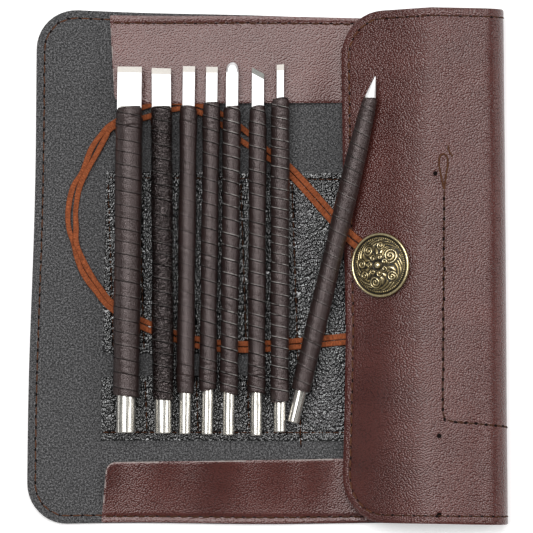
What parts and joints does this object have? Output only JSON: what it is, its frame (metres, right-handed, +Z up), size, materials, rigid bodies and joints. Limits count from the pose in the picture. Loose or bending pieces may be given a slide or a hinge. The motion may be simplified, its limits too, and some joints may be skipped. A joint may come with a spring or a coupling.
{
  "type": "carving tool roll",
  "caption": "Folded leather roll with a suede lining, pocket panel, guard strips, domed button and tie cord, holding leather-wrapped carving tools",
  "frame": {"origin": "on the underside, in the middle of the roll", "axes": "+X from the plain left margin to the fold, +Y along the tools to their tips, +Z up from the table"},
  "size_m": [0.2249, 0.2424, 0.0265],
  "materials": {
    "brown_leather": "fine-grained, semi-gloss, edges cut raw",
    "suede_lining": "matt brushed suede",
    "pebbled_leather": "deep pebble grain, satin",
    "thread": "twisted sewing thread",
    "suede_cord": "flat suede lace, matt",
    "antique_brass": "antique brass, dark in its recesses and polished on its relief",
    "polished_steel": "bright ground steel",
    "plated_rod": "nickel-plated rod",
    "wrap_leather": "thin smooth leather strip"
  },
  "bodies": {
    "main": {"leather_main": "brown_leather", "lining_main": "suede_lining", "pocket_main": "pebbled_leather", "top_hem": "brown_leather", "bottom_hem": "brown_leather", "edge_thread": "thread", "pocket_thread": "thread"},
    "left_margin": {"leather_left": "brown_leather", "lining_left": "suede_lining", "margin_thread": "thread"},
    "spine_a": {"leather_spine_a": "brown_leather", "lining_spine_a": "suede_lining", "pocket_spine_a": "pebbled_leather"},
    "spine_b": {"leather_spine_b": "brown_leather", "lining_spine_b": "suede_lining", "pocket_spine_b": "pebbled_leather"},
    "spine_c": {"leather_spine_c": "brown_leather", "lining_spine_c": "suede_lining", "pocket_spine_c": "pebbled_leather"},
    "flap": {"leather_flap": "brown_leather", "lining_flap": "suede_lining", "pocket_flap": "pebbled_leather", "flap_thread": "thread", "pocket_flap_thread": "thread", "button_screw": "antique_brass", "button_washer": "antique_brass", "cord_anchor": "suede_cord"},
    "button": {"button_cap": "antique_brass"},
    "cord": {"tie_cord": "suede_cord"},
    "top_guard": {"top_guard": "brown_leather"},
    "bottom_guard": {"bottom_guard": "brown_leather"},
    "chisel_wide": {"chisel_wide_blade": "polished_steel", "chisel_wide_rod": "plated_rod", "chisel_wide_wrap": "wrap_leather"},
    "chisel_medium": {"chisel_medium_blade": "polished_steel", "chisel_medium_rod": "plated_rod", "chisel_medium_wrap": "wrap_leather"},
    "chisel_small": {"chisel_small_blade": "polished_steel", "chisel_small_rod": "plated_rod", "chisel_small_wrap": "wrap_leather"},
    "chisel_fine": {"chisel_fine_blade": "polished_steel", "chisel_fine_rod": "plated_rod", "chisel_fine_wrap": "wrap_leather"},
    "round_nose": {"round_nose_blade": "polished_steel", "round_nose_rod": "plated_rod", "round_nose_wrap": "wrap_leather"},
    "skew": {"skew_blade": "polished_steel", "skew_rod": "plated_rod", "skew_wrap": "wrap_leather"},
    "chisel_narrow": {"chisel_narrow_blade": "polished_steel", "chisel_narrow_rod": "plated_rod", "chisel_narrow_wrap": "wrap_leather"},
    "needle": {"needle_blade": "polished_steel", "needle_rod": "plated_rod", "needle_wrap": "wrap_leather"}
  },
  "joints": [
    {"name": "margin_fold", "type": "hinge", "parent": "main", "child": "left_margin", "pos_m": [-0.0908, 0, 0.01], "axis": [0, 1, 0], "range_deg": [0, 178]},
    {"name": "fold_a", "type": "hinge", "parent": "main", "child": "spine_a", "pos_m": [0.10582, 0, 0.0008], "axis": [0, 1, 0], "range_deg": [0, 43]},
    {"name": "fold_b", "type": "hinge", "parent": "spine_a", "child": "spine_b", "pos_m": [0.1115, 0, 0.00648], "axis": [0, 1, 0], "range_deg": [0, 43]},
    {"name": "fold_c", "type": "hinge", "parent": "spine_b", "child": "spine_c", "pos_m": [0.1115, 0, 0.01452], "axis": [0, 1, 0], "range_deg": [0, 43]},
    {"name": "fold_d", "type": "hinge", "parent": "spine_c", "child": "flap", "pos_m": [0.10582, 0, 0.0202], "axis": [0, 1, 0], "range_deg": [0, 43], "deforming": ["leather_flap", "lining_flap", "flap_thread", "cord_anchor"]},
    {"name": "button_turn", "type": "hinge", "parent": "flap", "child": "button", "pos_m": [0.0545, 0.0007, 0.01653], "axis": [-0.4695, 0, 0.8829], "continuous": true},
    {"name": "cord_swing", "type": "hinge", "parent": "flap", "child": "cord", "pos_m": [0.0335, 0, 0.0055], "axis": [0, 1, 0], "range_deg": [0, 150], "deforming": ["tie_cord"]},
    {"name": "top_guard_lift", "type": "hinge", "parent": "main", "child": "top_guard", "pos_m": [0, 0.1142, 0.0032], "axis": [-1, 0, 0], "range_deg": [0, 175], "deforming": ["top_guard"]},
    {"name": "bottom_guard_lift", "type": "hinge", "parent": "main", "child": "bottom_guard", "pos_m": [0, -0.1176, 0.0032], "axis": [1, 0, 0], "range_deg": [0, 175], "deforming": ["bottom_guard"]},
    {"name": "chisel_wide_lift", "type": "slide", "parent": "main", "child": "chisel_wide", "axis": [0, 0, 1], "range_m": [0, 0.06]},
    {"name": "chisel_medium_lift", "type": "slide", "parent": "main", "child": "chisel_medium", "axis": [0, 0, 1], "range_m": [0, 0.06]},
    {"name": "chisel_small_lift", "type": "slide", "parent": "main", "child": "chisel_small", "axis": [0, 0, 1], "range_m": [0, 0.06]},
    {"name": "chisel_fine_lift", "type": "slide", "parent": "main", "child": "chisel_fine", "axis": [0, 0, 1], "range_m": [0, 0.06]},
    {"name": "round_nose_lift", "type": "slide", "parent": "main", "child": "round_nose", "axis": [0, 0, 1], "range_m": [0, 0.06]},
    {"name": "skew_lift", "type": "slide", "parent": "main", "child": "skew", "axis": [0, 0, 1], "range_m": [0, 0.06]},
    {"name": "chisel_narrow_lift", "type": "slide", "parent": "main", "child": "chisel_narrow", "axis": [0, 0, 1], "range_m": [0, 0.06]},
    {"name": "needle_lift", "type": "slide", "parent": "main", "child": "needle", "axis": [0, 0, 1], "range_m": [0, 0.06]}
  ]
}
